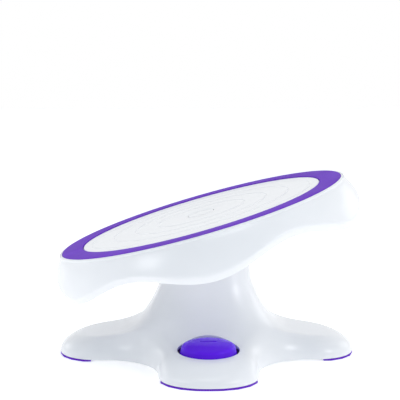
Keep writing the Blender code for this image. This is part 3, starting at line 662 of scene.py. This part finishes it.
def make_centre_cap():
    """The low round cap over the pivot screw."""
    _, out, low, top = turned_size("centre_cap", TILTED)
    profile = rounded([(0, top - 0.4 * MM), (out * 0.45, top - 0.3 * MM), (out, top, 0.5 * MM), (out, low),
                       (0, low)], 4)
    make_piece("hub_cap", spin_profile(profile, 96), "platter", ["centre_cap"], "white_abs", TILTED)


# ---------------------------------------------------------------- stage
FLOOR_HALF = 6.0
FLOOR_GLOW = 0.38
PALE = (0.92, 0.92, 0.93, 1)
BACKDROP_WAY = (-0.12, -0.96, 0.26)
BACKDROP = ((0.14, 0.86), (0.52, 0.86), (0.70, 0.82))
DARK_CARD = (0.06, 0.12, 0.18, 1)


def make_stage():
    """A wide pale floor under the turntable."""
    bm = bmesh.new()
    bmesh.ops.create_grid(bm, x_segments=2, y_segments=2, size=FLOOR_HALF)
    floor = link_mesh("floor", bm)
    paper = bpy.data.materials.new("pale_paper")
    paper.use_nodes = True
    shader = paper.node_tree.nodes["Principled BSDF"]
    shader.inputs["Base Color"].default_value = PALE
    shader.inputs["Roughness"].default_value = 0.7
    shader.inputs["Specular IOR Level"].default_value = 0.1
    shader.inputs["Emission Color"].default_value = (1, 1, 1, 1)
    shader.inputs["Emission Strength"].default_value = FLOOR_GLOW
    floor.data.materials.append(paper)


def make_lamp(name, size, power, at, aim):
    light = bpy.data.lights.new(name, "AREA")
    light.shape = "RECTANGLE"
    light.size, light.size_y = size
    light.energy = power
    lamp = bpy.data.objects.new(name, light)
    bpy.context.scene.collection.objects.link(lamp)
    lamp.location = at
    lamp.rotation_euler = (Vector(aim) - Vector(at)).to_track_quat("-Z", "Y").to_euler()


def make_lights():
    """White surroundings with a dark card in front, two side softboxes, a high one and two behind."""
    scene = bpy.context.scene
    world = bpy.data.worlds.new("studio")
    scene.world = world
    world.use_nodes = True
    tree = world.node_tree
    back = tree.nodes["Background"]
    where = tree.nodes.new("ShaderNodeTexCoord")
    facing = tree.nodes.new("ShaderNodeVectorMath")
    facing.operation = "DOT_PRODUCT"
    facing.inputs[1].default_value = Vector(BACKDROP_WAY).normalized()
    tree.links.new(where.outputs["Generated"], facing.inputs[0])
    spread = node_of(tree, "ShaderNodeMapRange")
    spread.inputs["From Min"].default_value = -1.0
    tree.links.new(facing.outputs["Value"], spread.inputs["Value"])
    ramp = tree.nodes.new("ShaderNodeValToRGB")
    ramp.color_ramp.interpolation = "EASE"
    ramp.color_ramp.elements[0].position = 0.05
    ramp.color_ramp.elements[0].color = (1.0, 1.0, 1.0, 1)
    ramp.color_ramp.elements[1].position = 0.94
    ramp.color_ramp.elements[1].color = DARK_CARD
    for position, level in BACKDROP:
        ramp.color_ramp.elements.new(position).color = (level * 0.98, level, level * 1.02, 1)
    tree.links.new(spread.outputs["Result"], ramp.inputs["Fac"])
    tree.links.new(ramp.outputs["Color"], back.inputs["Color"])
    back.inputs["Strength"].default_value = 1.0
    make_lamp("left_softbox", (0.5, 0.4), 3.0, (-1.3, -1.0, 0.75), (0, 0, 0.05))
    make_lamp("right_softbox", (0.5, 0.4), 4.4, (1.3, -1.0, 0.75), (0, 0, 0.05))
    make_lamp("high_softbox", (0.7, 0.4), 3.0, (0, -0.75, 1.35), (0, -0.08, 0.03))
    make_lamp("rear_left_softbox", (0.8, 0.5), 1.3, (-1.3, 1.0, 0.55), (0, 0, 0.04))
    make_lamp("rear_right_softbox", (0.8, 0.5), 1.3, (1.3, 1.0, 0.55), (0, 0, 0.04))
    scene.view_settings.view_transform = "Standard"


def make_camera():
    camera = bpy.data.cameras.new("camera")
    camera.sensor_width = 36
    camera.lens = 104.85
    view = bpy.data.objects.new("camera", camera)
    bpy.context.scene.collection.objects.link(view)
    view.location = (-0.0258, -1.300, 0.335)
    view.rotation_euler = (math.radians(82.88), 0, math.radians(-0.81))
    bpy.context.scene.camera = view


# ---------------------------------------------------------------- build
for node, thing in frame["nodes"].items():
    thing.data.materials.clear()
    thing.data.materials.append(FINISH[SLOT_OF[node]])

make_base_shell()
make_button()
make_touch_bar()
make_spring("return_spring_left", "button_spring_left", BUTTON_SPRING_TRAVEL)
make_spring("return_spring_right", "button_spring_right", BUTTON_SPRING_TRAVEL)
make_spring("lock_rod_spring", "rod_spring", ROD_SPRING_TRAVEL)
make_feet()
make_platter()
make_ribs()
make_grip_ring()
make_centre_cap()
make_stage()
make_lights()
make_camera()
